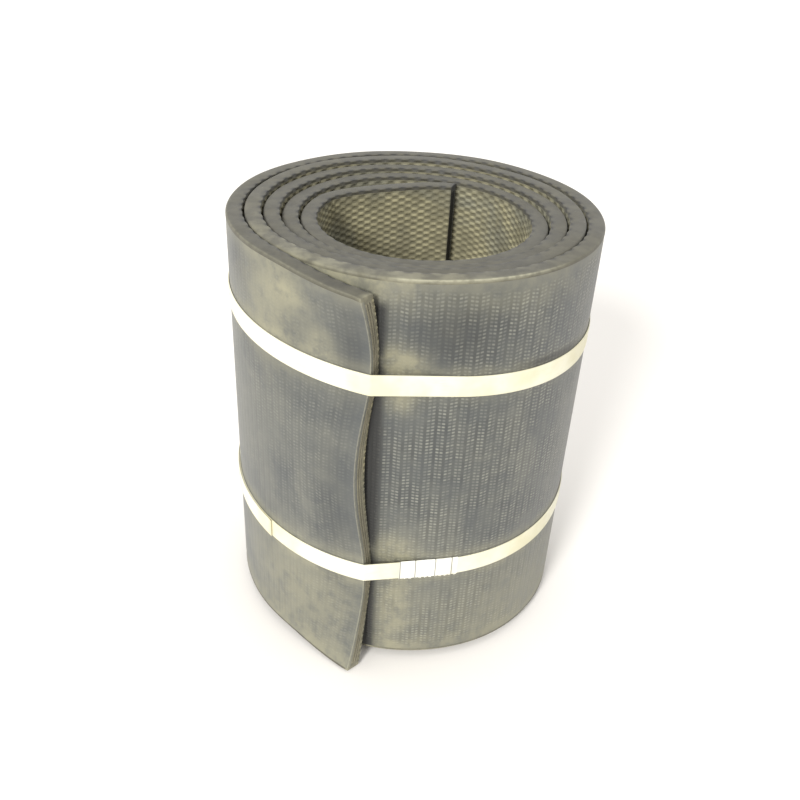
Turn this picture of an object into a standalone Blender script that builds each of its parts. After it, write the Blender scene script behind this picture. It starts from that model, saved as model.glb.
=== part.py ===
"""A roll of rubber expansion-joint belting, standing on its end and held by two straps.

The belting is a laminate: a rubber cover, three fabric plies with skim rubber between
them, edge rubber along both edges and a coarse woven inner face. It is wound clockwise,
seen from above, from its outer free end to its inner one. Every layer is a solid of its
own that follows the same spiral at its own depth under the outer surface.

Lengths are in millimetres and angles in degrees until a mesh is written, in metres.
+Z runs up the roll, and the origin is the middle of the footprint.
"""
import math

import bmesh
import bpy
import numpy as np

# The belting
BELT_WIDTH = 250.0            # across the belting, which is the height of a turn
COVER_THICKNESS = 2.2
PLY_THICKNESS = 0.9
SKIM_THICKNESS = 0.5
FACE_THICKNESS = 1.6
PLY_COUNT = 3
EDGE_RUBBER_WIDTH = 4.0
BOND_GAP = 0.3                # between two solids that touch on the real object

# The winding
TURNS = 4.523
CORE_RADIUS = 65.5            # outer surface of the innermost turn, about
CORE_SQUEEZE = 1.0            # the eye is this much narrower along X, and longer along Y
SIDE_SLACK = 0.55             # extra room between turns at the two sides
BACK_SLACK = 0.3              # and at the back
OUTER_END_DEG = -101.0        # where the outer end lies, from +X about +Z
TAIL_DEG = 84.0               # the inner end straightens over this much of its turn
TAIL_DIP = 9.0                # and leaves the turn behind it by this much
STEPS_PER_TURN = 30

# How the turns have slipped along the axis
OUTER_LIFT = 6.0              # the outer turns ride this high above the floor
LIFT_FROM_DEG = 520.0         # winding angle where the lift starts to fall
LIFT_TO_DEG = 1330.0          # and where the inner turns stand on the floor
DROOP_DEG = 36.0              # the outer end sags over this stretch
DROOP = 5.5

# How the outer end stands off between and beyond the straps
FLARE_DEG = 30.0
FLARE_BOTTOM = 10.0
FLARE_MIDDLE = 3.5
FLARE_TOP = 6.0
CUT_BOW_DEG = 3.3             # the cut end is hollow by this much between the straps
CUT_BOW_EDGE_DEG = 1.6        # and at the two corners
CUT_BEVEL_DEG = 1.0           # the inner face reaches this much further than the cover
FLAP_STEPS_DEG = (0.0, 4.0, 8.0, 12.0, 18.0, 24.0, 30.0)

# The straps
STRAP_WIDTH = 12.0
STRAP_THICKNESS = 0.7
STRAP_TRAVEL = 6.0            # each strap can be pushed this far up or down
STRAP_CLEARANCE = 0.3
PRESS_MARGIN = 2.0            # the end lies flat this far beyond a strap's travel
UPPER_STRAP_INSET = 53.8      # its middle, on average, below the outer turns' upper edge
LOWER_STRAP_INSET = 75.9      # and above their lower edge
UPPER_STRAP = {"height": OUTER_LIFT + BELT_WIDTH - UPPER_STRAP_INSET,
               "lean": 8.9, "low_at_deg": -15.0, "lap_deg": (70.0, 128.0)}
LOWER_STRAP = {"height": OUTER_LIFT + LOWER_STRAP_INSET,
               "lean": 6.8, "low_at_deg": -65.0, "lap_deg": (155.0, 222.5)}
LAP_STEP = 0.5                # length of the ramp where a lap begins

# The tape round the lower strap
TAPE_DEG = (-90.6, -71.8)
TAPE_THICKNESS = 0.3

METRES = 0.001
FULL_TURN = 360.0
WINDING = TURNS * FULL_TURN
BELT_THICKNESS = (COVER_THICKNESS + FACE_THICKNESS + PLY_COUNT * PLY_THICKNESS
                  + (PLY_COUNT - 1) * SKIM_THICKNESS + 2 * PLY_COUNT * BOND_GAP)
TIGHT_PITCH = BELT_THICKNESS + BOND_GAP

COLOURS = {
    "outer_cover": (0.105, 0.108, 0.098),
    "fabric_ply": (0.42, 0.38, 0.27),
    "skim_rubber": (0.06, 0.06, 0.055),
    "edge_rubber": (0.13, 0.13, 0.11),
    "inner_woven_face": (0.24, 0.22, 0.14),
    "strap": (0.86, 0.84, 0.74),
    "strap_tape": (0.93, 0.92, 0.86),
}


# ---------------------------------------------------------------- the winding

def slack(theta):
    """Room between one turn and the next, over the tight pitch, at an angle."""
    side = np.cos(theta) ** 2
    back = (1.0 + np.sin(theta)) / 2.0
    return SIDE_SLACK * side + BACK_SLACK * back


def tail_dip(winding):
    """How far the inner end falls away from the turn behind it."""
    share = np.clip((winding - (WINDING - TAIL_DEG)) / TAIL_DEG, 0.0, 1.0)
    return TAIL_DIP * np.sin(math.pi * share) ** 1.25


def outer_curve(winding):
    """Plan position of the outer surface at a winding angle from the outer end."""
    theta = np.radians(OUTER_END_DEG - winding)
    turns_left = (WINDING - winding) / FULL_TURN
    radius = CORE_RADIUS - CORE_SQUEEZE * np.cos(2.0 * theta)
    radius = radius + turns_left * (TIGHT_PITCH + slack(theta)) - tail_dip(winding)
    return np.stack([radius * np.cos(theta), radius * np.sin(theta)], axis=-1)


def outward(winding):
    """Unit normal of the outer surface, in plan."""
    ahead, behind = outer_curve(winding + 0.5), outer_curve(winding - 0.5)
    run = ahead - behind
    normal = np.stack([-run[..., 1], run[..., 0]], axis=-1)
    return normal / np.linalg.norm(normal, axis=-1, keepdims=True)


def lower_edge(winding):
    """Height of the belting's lower edge above the floor."""
    fall = np.clip((winding - LIFT_FROM_DEG) / (LIFT_TO_DEG - LIFT_FROM_DEG), 0.0, 1.0)
    sag = np.clip(1.0 - winding / DROOP_DEG, 0.0, 1.0)
    return OUTER_LIFT * (1.0 - fall) - DROOP * sag ** 2 * (3.0 - 2.0 * sag)


def strap_height(strap, theta_deg):
    """Height of a strap's centre line, which leans across the roll."""
    return strap["height"] - strap["lean"] * np.cos(np.radians(theta_deg - strap["low_at_deg"]))


def flap_rows(winding):
    """Heights up the belting where the outer end bends, with its stand-off and hollow."""
    theta_deg = OUTER_END_DEG - winding
    reach = STRAP_WIDTH / 2.0 + STRAP_TRAVEL + PRESS_MARGIN
    low = strap_height(LOWER_STRAP, theta_deg) - lower_edge(winding)
    high = strap_height(UPPER_STRAP, theta_deg) - lower_edge(winding)
    foot, head = low - reach, high + reach
    floor, ceiling = low + reach, high - reach
    rows = [(0.0, FLARE_BOTTOM, CUT_BOW_EDGE_DEG)]
    for share in (EDGE_RUBBER_WIDTH / foot, 0.35, 0.7):
        rows.append((foot * share, FLARE_BOTTOM * (1.0 - share) ** 2, CUT_BOW_EDGE_DEG * (1.0 - share)))
    rows.append((foot, 0.0, 0.0))
    rows.append((floor, 0.0, 0.0))
    for share in (0.25, 0.5, 0.75):
        bulge = math.sin(math.pi * share)
        rows.append((floor + (ceiling - floor) * share, FLARE_MIDDLE * bulge, CUT_BOW_DEG * bulge))
    rows.append((ceiling, 0.0, 0.0))
    rows.append((head, 0.0, 0.0))
    top = BELT_WIDTH - head
    for share in (0.5, 1.0 - EDGE_RUBBER_WIDTH / top, 1.0):
        rows.append((head + top * share, FLARE_TOP * share ** 2, CUT_BOW_EDGE_DEG * share))
    return np.array(rows)


def flared_outline(winding, stand_off):
    """Plan position of the outer surface where the end stands off the turn behind it."""
    along = 1.0 - min(winding / FLARE_DEG, 1.0)
    return outer_curve(winding) + outward(winding) * stand_off * along ** 2


def belt_point(winding, height, depth):
    """A point in the belting: how far round, how far up and how far under the surface."""
    rows = flap_rows(winding)
    along = 1.0 - min(winding / FLARE_DEG, 1.0)
    stand_off, bow = [np.interp(height, rows[:, 0], rows[:, column]) for column in (1, 2)]
    moved = winding + (bow - CUT_BEVEL_DEG * depth / BELT_THICKNESS) * along
    run = flared_outline(moved + 0.25, stand_off) - flared_outline(moved - 0.25, stand_off)
    inward = np.array([run[1], -run[0]]) / np.linalg.norm(run)
    plan = flared_outline(moved, stand_off) + inward * depth
    return (plan[0], plan[1], lower_edge(winding) + height)


def stations():
    """Winding angles of the cross-sections, close together at the outer end."""
    step = FULL_TURN / STEPS_PER_TURN
    first = math.floor(FLAP_STEPS_DEG[-1] / step) + 1
    last = math.ceil(WINDING / step)
    return list(FLAP_STEPS_DEG) + [step * index for index in range(first, last)] + [WINDING]


# ---------------------------------------------------------------- meshes

def new_object(name, points, faces, origin, group):
    """A mesh object whose points are written from its own origin."""
    mesh = bpy.data.meshes.new(name)
    local = (np.array(points) - np.array(origin)) * METRES
    mesh.from_pydata([tuple(point) for point in local], [], faces)
    body = bmesh.new()
    body.from_mesh(mesh)
    bmesh.ops.triangulate(body, faces=body.faces[:])
    bmesh.ops.recalc_face_normals(body, faces=body.faces[:])
    body.to_mesh(mesh)
    body.free()
    mesh.shade_smooth()
    mesh.set_sharp_from_angle(angle=math.radians(30.0))
    made = bpy.data.objects.new(name, mesh)
    made.location = [value * METRES for value in origin]
    group.objects.link(made)
    return made


def quad(a, b, c, d):
    """Two triangles that share the a-c diagonal, so that stacked layers stay parallel."""
    return [(a, b, c), (a, c, d)]


def join_rows(first, second):
    """Faces between two columns of points, where either may hold only its two ends."""
    if len(first) == len(second):
        faces = []
        for low in range(len(first) - 1):
            faces += quad(first[low], second[low], second[low + 1], first[low + 1])
        return faces
    return [tuple(second) + tuple(reversed(first))]


def belt_layer(name, depths, heights, group):
    """One layer of the laminate, wound from the outer end to the inner one."""
    points, columns = [], []
    for winding in stations():
        inner_rows = []
        if winding <= FLAP_STEPS_DEG[-1]:
            levels = flap_rows(winding)[:, 0]
            keep = (levels > heights[0] + 1.0) & (levels < heights[1] - 1.0)
            inner_rows = list(levels[keep])
        rows = [heights[0]] + inner_rows + [heights[1]]
        pair = []
        for depth in depths:
            pair.append(list(range(len(points), len(points) + len(rows))))
            points += [belt_point(winding, height, depth) for height in rows]
        columns.append(pair)
    faces = []
    for (outside, inside), (next_outside, next_inside) in zip(columns, columns[1:]):
        faces += join_rows(outside, next_outside)
        faces += join_rows(inside, next_inside)
        faces += quad(outside[0], next_outside[0], next_inside[0], inside[0])
        faces += quad(outside[-1], next_outside[-1], next_inside[-1], inside[-1])
    for outside, inside in (columns[0], columns[-1]):
        faces += join_rows(outside, inside)
    return new_object(name, points, faces, (0.0, 0.0, 0.0), group)


# ---------------------------------------------------------------- straps and tape

def cross(origin, first, second):
    return ((first[0] - origin[0]) * (second[1] - origin[1])
            - (first[1] - origin[1]) * (second[0] - origin[0]))


def tight_loop():
    """The taut loop round the roll, anticlockwise: the convex outline of its outer turn."""
    step = FULL_TURN / STEPS_PER_TURN
    outline = [outer_curve(angle) for angle in stations() if angle <= FULL_TURN + 3.0 * step]
    points = sorted({(float(x), float(y)) for x, y in outline})
    halves = []
    for run in (points, points[::-1]):
        half = []
        for point in run:
            while len(half) > 1 and cross(half[-2], half[-1], point) <= 0.0:
                half.pop()
            half.append(point)
        halves.append(half[:-1])
    return np.array(halves[0] + halves[1])


def split_loop(loop, angles):
    """The loop with a point added at each angle, on the stretch that crosses it."""
    for angle in angles:
        ray = np.array([math.cos(math.radians(angle)), math.sin(math.radians(angle))])
        ends = np.roll(loop, -1, axis=0)
        side_a = loop @ np.array([-ray[1], ray[0]])
        side_b = ends @ np.array([-ray[1], ray[0]])
        ahead = (loop + ends) @ ray > 0.0
        index = int(np.flatnonzero((side_a < 0.0) & (side_b >= 0.0) & ahead)[0])
        share = side_a[index] / (side_a[index] - side_b[index])
        loop = np.insert(loop, index + 1, loop[index] * (1.0 - share) + ends[index] * share, axis=0)
    return loop


def spread_loop(loop, distances):
    """The loop moved outwards, each point by its own distance, with mitred corners."""
    before = loop - np.roll(loop, 1, axis=0)
    after = np.roll(loop, -1, axis=0) - loop
    sides = []
    for run in (before, after):
        side = np.stack([run[:, 1], -run[:, 0]], axis=-1)
        sides.append(side / np.linalg.norm(side, axis=1, keepdims=True))
    mitre = (sides[0] + sides[1]) / (1.0 + np.sum(sides[0] * sides[1], axis=1, keepdims=True))
    return loop + mitre * np.reshape(distances, (-1, 1))


def turned(angles, start):
    """Angles measured anticlockwise from a start, 0 to 360."""
    return (np.asarray(angles) - start) % FULL_TURN


def loop_angles(loop):
    return np.degrees(np.arctan2(loop[:, 1], loop[:, 0]))


def make_strap(name, strap, group):
    """A flat band pulled tight round the roll, twice as thick where its ends lap."""
    start, end = strap["lap_deg"]
    ramp = math.degrees(LAP_STEP / CORE_RADIUS)
    loop = split_loop(tight_loop(), (start, start + ramp, end - ramp, end))
    angles = loop_angles(loop)
    lapped = (turned(angles, start) > 0.5 * ramp) & (turned(angles, start) < end - start - 0.5 * ramp)
    inner = spread_loop(loop, np.full(len(loop), STRAP_CLEARANCE))
    outer = spread_loop(loop, STRAP_CLEARANCE + STRAP_THICKNESS * (1.0 + lapped))
    middle = strap_height(strap, angles)
    points, count = [], len(loop)
    for plan, side in ((outer, -0.5), (outer, 0.5), (inner, 0.5), (inner, -0.5)):
        points += [(x, y, z + side * STRAP_WIDTH) for (x, y), z in zip(plan, middle)]
    faces = []
    for index in range(count):
        following = (index + 1) % count
        for ring in range(4):
            other = (ring + 1) % 4
            faces += quad(ring * count + index, ring * count + following,
                          other * count + following, other * count + index)
    return new_object(name, points, faces, (0.0, 0.0, strap["height"]), group)


def make_tape(group):
    """Tape folded over the strap's outside and both its edges."""
    loop = split_loop(tight_loop(), TAPE_DEG)
    angles = loop_angles(loop)
    inside = turned(angles, TAPE_DEG[0] - 0.01) <= TAPE_DEG[1] - TAPE_DEG[0] + 0.02
    order = np.argsort(turned(angles, TAPE_DEG[0] - 0.01)[inside])
    middle = strap_height(LOWER_STRAP, angles)[inside][order]
    face = STRAP_CLEARANCE + STRAP_THICKNESS + BOND_GAP
    depths = (STRAP_CLEARANCE, face, face + TAPE_THICKNESS)
    back, front, outside = [spread_loop(loop, np.full(len(loop), depth))[inside][order] for depth in depths]
    half = STRAP_WIDTH / 2.0 + BOND_GAP
    full = half + TAPE_THICKNESS
    profile = ((outside, -full), (outside, full), (back, full), (back, half),
               (front, half), (front, -half), (back, -half), (back, -full))
    count, points = len(middle), []
    for plan, rise in profile:
        points += [(x, y, z + rise) for (x, y), z in zip(plan, middle)]
    rings = len(profile)
    faces = []
    for index in range(count - 1):
        for ring in range(rings):
            other = (ring + 1) % rings
            faces += quad(ring * count + index, ring * count + index + 1,
                          other * count + index + 1, other * count + index)
    for end in (0, count - 1):
        faces.append(tuple(ring * count + end for ring in range(rings)))
    return new_object("strap_tape", points, faces, (0.0, 0.0, LOWER_STRAP["height"]), group)


# ---------------------------------------------------------------- the whole roll

def paint(body, colour_name, roughness):
    """A Principled material of the piece's own."""
    finish = bpy.data.materials.new(body.name)
    finish.use_nodes = True
    shader = finish.node_tree.nodes["Principled BSDF"]
    shader.inputs["Base Color"].default_value = COLOURS[colour_name] + (1.0,)
    shader.inputs["Roughness"].default_value = roughness
    shader.inputs["Metallic"].default_value = 0.0
    body.data.materials.append(finish)


def build_belting(group):
    """The cover, the plies with skim rubber between them, both edges and the inner face."""
    full = (0.0, BELT_WIDTH)
    between = (EDGE_RUBBER_WIDTH + BOND_GAP, BELT_WIDTH - EDGE_RUBBER_WIDTH - BOND_GAP)
    paint(belt_layer("outer_cover", (0.0, COVER_THICKNESS), full, group), "outer_cover", 0.7)
    core_top = depth = COVER_THICKNESS + BOND_GAP
    for number in range(1, PLY_COUNT + 1):
        ply = belt_layer(f"fabric_ply_{number}", (depth, depth + PLY_THICKNESS), between, group)
        paint(ply, "fabric_ply", 0.9)
        depth += PLY_THICKNESS + BOND_GAP
        if number < PLY_COUNT:
            skim = belt_layer(f"skim_rubber_{number}", (depth, depth + SKIM_THICKNESS), between, group)
            paint(skim, "skim_rubber", 0.75)
            depth += SKIM_THICKNESS + BOND_GAP
    core = (core_top, depth - BOND_GAP)
    low = belt_layer("edge_rubber_lower", core, (0.0, EDGE_RUBBER_WIDTH), group)
    high = belt_layer("edge_rubber_upper", core, (BELT_WIDTH - EDGE_RUBBER_WIDTH, BELT_WIDTH), group)
    for edge in (low, high):
        paint(edge, "edge_rubber", 0.75)
    face = belt_layer("inner_woven_face", (depth, depth + FACE_THICKNESS), full, group)
    paint(face, "inner_woven_face", 0.9)


def centre_on_footprint(group):
    """Move every piece so that the origin is the middle of the footprint, at the floor."""
    corners = [np.array(vertex.co) + np.array(body.location)
               for body in group.objects for vertex in body.data.vertices]
    low, high = np.min(corners, axis=0), np.max(corners, axis=0)
    shift = ((low[0] + high[0]) / 2.0, (low[1] + high[1]) / 2.0, low[2])
    for body in group.objects:
        body.location = [place - move for place, move in zip(body.location, shift)]


def main():
    for old in list(bpy.data.objects):
        bpy.data.objects.remove(old, do_unlink=True)
    group = bpy.data.collections.new("expansion_belting_roll")
    bpy.context.scene.collection.children.link(group)
    build_belting(group)
    for name, strap in (("upper_strap", UPPER_STRAP), ("lower_strap", LOWER_STRAP)):
        paint(make_strap(name, strap, group), "strap", 0.45)
    paint(make_tape(group), "strap_tape", 0.5)
    centre_on_footprint(group)


main()
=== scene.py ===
# %% [markdown]
# # A roll of expansion-joint belting
# Rubber belting with woven plies inside is sold by the roll, and held closed by plastic
# strapping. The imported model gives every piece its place, its size and its joints. This
# notebook gives the same pieces their surfaces: the cloth print on the rubber, the moulded
# rims, the coarse weave inside the eye, the cut end with its plies, and the straps.
#
# Lengths are in millimetres until a mesh is written, because that is how belting is sold.

# %% The frame and what the notebook uses
import math

import bpy
from mathutils import Matrix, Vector
from mathutils.geometry import convex_hull_2d
import numpy as np


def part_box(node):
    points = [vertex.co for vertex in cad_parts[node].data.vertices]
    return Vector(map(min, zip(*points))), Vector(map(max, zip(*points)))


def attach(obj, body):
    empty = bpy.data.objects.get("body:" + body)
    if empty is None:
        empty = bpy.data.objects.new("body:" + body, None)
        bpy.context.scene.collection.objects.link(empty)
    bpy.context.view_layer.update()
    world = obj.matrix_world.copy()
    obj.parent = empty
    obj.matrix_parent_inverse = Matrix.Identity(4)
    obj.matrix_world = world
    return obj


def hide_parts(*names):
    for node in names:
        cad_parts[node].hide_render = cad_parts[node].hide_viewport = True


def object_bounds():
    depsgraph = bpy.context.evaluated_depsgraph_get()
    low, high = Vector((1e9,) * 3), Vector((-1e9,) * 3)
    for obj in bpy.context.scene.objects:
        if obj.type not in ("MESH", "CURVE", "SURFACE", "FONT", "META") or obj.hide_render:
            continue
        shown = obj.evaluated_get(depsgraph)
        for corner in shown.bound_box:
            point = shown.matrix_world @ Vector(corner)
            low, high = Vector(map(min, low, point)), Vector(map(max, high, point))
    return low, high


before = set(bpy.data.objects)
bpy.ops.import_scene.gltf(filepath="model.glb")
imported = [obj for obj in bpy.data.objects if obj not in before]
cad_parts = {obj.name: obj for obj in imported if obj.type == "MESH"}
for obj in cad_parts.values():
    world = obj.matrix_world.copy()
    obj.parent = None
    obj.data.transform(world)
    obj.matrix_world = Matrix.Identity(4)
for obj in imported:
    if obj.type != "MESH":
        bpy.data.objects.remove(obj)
cad_low, cad_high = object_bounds()
METRES = 0.001
print("CAD box, mm:", [round((h - l) / METRES, 1) for l, h in zip(cad_low, cad_high)])

# %% [markdown]
# ## The strip and its winding
# A roll is one strip that follows a spiral. Every piece of the belting is a place in that
# strip: how far round, how far up and how deep under the outer surface. So the spiral is one
# function, and each piece calls it with its own heights and depths. The sizes repeat those of
# the solid model, so that the fine pieces lie where the plain ones do.

# %% Sizes of the strip and of its winding
BELT_WIDTH = 250.0
COVER_THICKNESS, PLY_THICKNESS, SKIM_THICKNESS, FACE_THICKNESS = 2.2, 0.9, 0.5, 1.6
PLY_COUNT = 3
EDGE_RUBBER_WIDTH = 4.0
BOND_GAP = 0.3
BELT_THICKNESS = (COVER_THICKNESS + FACE_THICKNESS + PLY_COUNT * PLY_THICKNESS
                  + (PLY_COUNT - 1) * SKIM_THICKNESS + 2 * PLY_COUNT * BOND_GAP)

TURN = 360.0
WINDING = 4.523 * TURN
CORE_RADIUS, CORE_SQUEEZE = 65.5, 1.0
SIDE_SLACK, BACK_SLACK = 0.55, 0.3
OUTER_END_DEG = -101.0
TAIL_DEG, TAIL_DIP = 84.0, 9.0
OUTER_LIFT, LIFT_FROM_DEG, LIFT_TO_DEG = 6.0, 520.0, 1330.0
DROOP_DEG, DROOP = 36.0, 5.5

print("strip thickness, mm:", round(BELT_THICKNESS, 2), "- turns:", WINDING / TURN)


# %% [markdown]
# ## The spiral
# Seen from above, a tight roll's radius falls by one thickness in each turn. A ready-made
# spiral curve is that and no more. A real roll is looser at its sides, and its inner end is
# too stiff to stay round, so the radius is a sum with one term for each of these.

# %% Plan of the outer surface
def fraction(values):
    """Values kept between 0 and 1."""
    return np.clip(values, 0.0, 1.0)


def outer_curve(winding):
    """Plan of the outer surface: a radius that loses one pitch in each turn, is squeezed a
    little along X, and dips over the last stretch, where the inner end straightens."""
    theta = np.radians(OUTER_END_DEG - winding)
    slack = SIDE_SLACK * np.cos(theta) ** 2 + BACK_SLACK * (1.0 + np.sin(theta)) / 2.0
    share = fraction((winding - (WINDING - TAIL_DEG)) / TAIL_DEG)
    radius = (CORE_RADIUS - CORE_SQUEEZE * np.cos(2.0 * theta)
              + (WINDING - winding) / TURN * (BELT_THICKNESS + BOND_GAP + slack)
              - TAIL_DIP * np.sin(math.pi * share) ** 1.25)
    return np.stack([radius * np.cos(theta), radius * np.sin(theta)], axis=-1)


def unit(vectors):
    """Vectors divided by their own length."""
    return vectors / np.linalg.norm(vectors, axis=-1, keepdims=True)


def outward(winding):
    """Unit normal of the outer surface: the spiral's direction, turned a quarter turn."""
    run = outer_curve(winding + 0.5) - outer_curve(winding - 0.5)
    return unit(np.stack([-run[..., 1], run[..., 0]], axis=-1))


# The solid model is cut into flats at every twelfth degree, so its box fixes the axis.
stations = np.arange(DROOP_DEG, WINDING, 12.0)
plan = outer_curve(stations)
cover_low, cover_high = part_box("outer_cover")
AXIS = np.array([cover_low.x / METRES - plan[:, 0].min(), cover_high.y / METRES - plan[:, 1].max()])
print("spiral axis, mm from the origin:", AXIS.round(2))

# %% [markdown]
# ## Distance along the strip
# Print and weave are evenly spaced in millimetres of rubber, not in degrees. The middle of the
# thickness keeps its length when the strip is rolled, so its small steps, added up, turn
# degrees into millimetres and back.

# %% From degrees to millimetres and back
fine_windings = np.linspace(-2.0, WINDING, 24001)
middle_line = outer_curve(fine_windings) - outward(fine_windings) * BELT_THICKNESS / 2.0
fine_runs = np.concatenate([[0.0], np.cumsum(np.linalg.norm(np.diff(middle_line, axis=0), axis=1))])
fine_runs -= np.interp(0.0, fine_windings, fine_runs)
STRIP_LENGTH = fine_runs[-1]


def winding_at(run):
    """Degrees of winding from the cut end, at millimetres along the middle line."""
    return np.interp(run, fine_runs, fine_windings)


def run_at(winding):
    """The other way round: both read the same two rows of numbers."""
    return np.interp(winding, fine_windings, fine_runs)


print("strip length, mm:", round(STRIP_LENGTH, 1))

# %% [markdown]
# ## The free end
# The last 30 degrees of the outer turn are springy. The straps press them flat, and between
# and beyond the straps the rubber stands off, so the cut end bows in the middle and kicks out
# at the bottom corner. Blender could bend it with a lattice or by sculpting. Writing the bend
# as a formula keeps every layer parallel and leaves the strapped zones exactly flat.

# %% The straps' heights and the bend of the free end
STRAP_WIDTH, STRAP_THICKNESS, STRAP_TRAVEL = 12.0, 0.7, 6.0
PRESS_MARGIN = 2.0
UPPER_STRAP = {"height": OUTER_LIFT + BELT_WIDTH - 53.8, "lean": 8.9, "low_at_deg": -15.0,
               "lap_deg": (70.0, 128.0)}
LOWER_STRAP = {"height": OUTER_LIFT + 75.9, "lean": 6.8, "low_at_deg": -65.0,
               "lap_deg": (155.0, 225.0)}
FLARE_DEG = 30.0
FLARE_BOTTOM, FLARE_MIDDLE, FLARE_TOP = 11.5, 3.5, 6.0
CUT_BOW_DEG, CUT_BOW_EDGE_DEG, CUT_BEVEL_DEG = 3.3, 1.6, 1.0


def strap_height(strap, theta_deg):
    """A leaning strap: its mean height, less a cosine that is largest at its low side."""
    return strap["height"] - strap["lean"] * np.cos(np.radians(theta_deg - strap["low_at_deg"]))


def lower_edge(winding):
    """The turns have slipped: the outer ones ride high, and the free end sags."""
    fall = fraction((winding - LIFT_FROM_DEG) / (LIFT_TO_DEG - LIFT_FROM_DEG))
    sag = fraction(1.0 - winding / DROOP_DEG)
    return OUTER_LIFT * (1.0 - fall) - DROOP * sag ** 2 * (3.0 - 2.0 * sag)


def end_bend(winding, height):
    """Stand-off in mm and hollow of the cut in degrees: a sine hump between the straps and a
    rising power beyond them. The stand-off is nothing wherever a strap can slide."""
    theta_deg = OUTER_END_DEG - winding
    reach = STRAP_WIDTH / 2.0 + STRAP_TRAVEL + PRESS_MARGIN
    low = strap_height(LOWER_STRAP, theta_deg) - lower_edge(winding)
    high = strap_height(UPPER_STRAP, theta_deg) - lower_edge(winding)
    below = fraction(1.0 - height / (low - reach))
    above = fraction((height - high - reach) / (BELT_WIDTH - high - reach))
    between = fraction((height - low - reach) / (high - low - 2.0 * reach))
    stand_off = (FLARE_BOTTOM * below ** 2 + FLARE_TOP * above ** 2
                 + FLARE_MIDDLE * np.sin(math.pi * between) ** 1.25)
    share = fraction((height - low) / (high - low)) ** 1.12
    bow = (CUT_BOW_DEG * np.sin(math.pi * share) ** 1.1
           + CUT_BOW_EDGE_DEG * (2.0 * below ** 1.2 + 1.6 * above ** 1.3))
    return stand_off, bow


print("end's stand-off at the foot, mm:", end_bend(0.0, 0.0)[0])


# %% [markdown]
# ## Small faults of the edges
# A stored roll isn't perfect: its corners are rubbed, its rims are never level, and the outer
# turn's foot hangs a little at the front. Sculpting would do it, but each fault is a simple
# curve along the strip, and as a formula it moves all the layers together.

# %% Rubbed corners, wavy rims and a hanging foot
CORNER_RUN, CORNER_HEIGHT = 6.0, 25.0
FOOT_SAG, FOOT_SAG_HEIGHT, FOOT_SAG_AT, FOOT_SAG_SPREAD = 1.6, 50.0, 305.0, 50.0


def hump(value, middle, width):
    """A bell curve: 1 at the middle, and 0.6 at one width from it."""
    return np.exp(-0.5 * ((value - middle) / width) ** 2)


def corner_wear(run, height):
    """The two corners of the cut end are rubbed round: a square that fades in 6 mm."""
    near = fraction(1.0 - run / CORNER_RUN) ** 2
    bottom = fraction(1.0 - height / CORNER_HEIGHT)
    top = fraction(1.0 - (BELT_WIDTH - height) / CORNER_HEIGHT)
    return near * (0.5 * bottom ** 2 - top ** 2)


def foot_sag(winding, height):
    """A bell curve round the roll, fading in a straight line up to 50 mm from the foot."""
    fade = fraction(1.0 - height / FOOT_SAG_HEIGHT)
    return FOOT_SAG * hump(winding, FOOT_SAG_AT, FOOT_SAG_SPREAD) * fade


def rim_wave(run):
    """A rim is never quite level: slow sines along the strip, under half a millimetre."""
    return 0.22 * np.sin(run / 41.0) + 0.12 * np.sin(run / 13.0)


print("rim's wave over the first 60 mm:", rim_wave(np.arange(0.0, 61.0, 20.0)).round(2))

# %% [markdown]
# ## A point of the strip
# Every layer asks the same question: where is the point this far along, this far up and this
# deep? The answer bends the spiral, turns its normal with it and moves in along that normal,
# so that layers with different depths stay parallel through the bend.

# %% From run, height and depth to a place
BEND_STEP = 0.25


def end_share(winding):
    """1 at the cut end and 0 where the free end starts, in a straight line."""
    return 1.0 - np.clip(winding / FLARE_DEG, -1.0, 1.0)


def flared(winding, stand_off):
    """The spiral, pushed outwards by the stand-off times the square of the end's share."""
    return outer_curve(winding) + outward(winding) * (stand_off * end_share(winding) ** 2)[..., None]


def strip_points(run, height, depth):
    """Points of the strip in mm: the flared spiral at that winding, moved inwards along its
    own normal by the depth, at the lower edge plus the height."""
    run, height, depth = np.broadcast_arrays(run, height, depth)
    winding = winding_at(run)
    stand_off, bow = end_bend(winding, height)
    moved = winding + (bow - CUT_BEVEL_DEG * depth / BELT_THICKNESS) * end_share(winding)
    ahead = flared(moved + BEND_STEP, stand_off) - flared(moved - BEND_STEP, stand_off)
    inward = unit(np.stack([ahead[..., 1], -ahead[..., 0]], axis=-1))
    level = lower_edge(winding) + height + corner_wear(run, height) + rim_wave(run)
    level = np.maximum(level - foot_sag(winding, height), 0.0)
    plan = flared(moved, stand_off) + inward * depth[..., None] + AXIS
    return np.concatenate([plan, level[..., None]], axis=-1)


print("free end's lower corner, mm:", strip_points(0.0, 0.0, 0.0).round(1))

# %% [markdown]
# ## Closed shells from grids
# Each layer is a slab: a fine face that is seen and a plain back that isn't. Making both as
# fine as the face would double the mesh, and a Solidify modifier does just that. So a ring of
# points runs up the face and down the back, the rings are joined along the strip, and the two
# ends are closed by zipping the fine side to the plain one.

# %% Rings and end caps
def ring_quads(columns, ring, start=0):
    """Quads between neighbouring rings of a tube, written as index arithmetic on a grid."""
    column, place = np.meshgrid(np.arange(columns - 1), np.arange(ring), indexing="ij")
    following = (place + 1) % ring
    corners = [column * ring + place, column * ring + following,
               (column + 1) * ring + following, (column + 1) * ring + place]
    return np.stack(corners, axis=-1).reshape(-1, 4) + start


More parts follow.
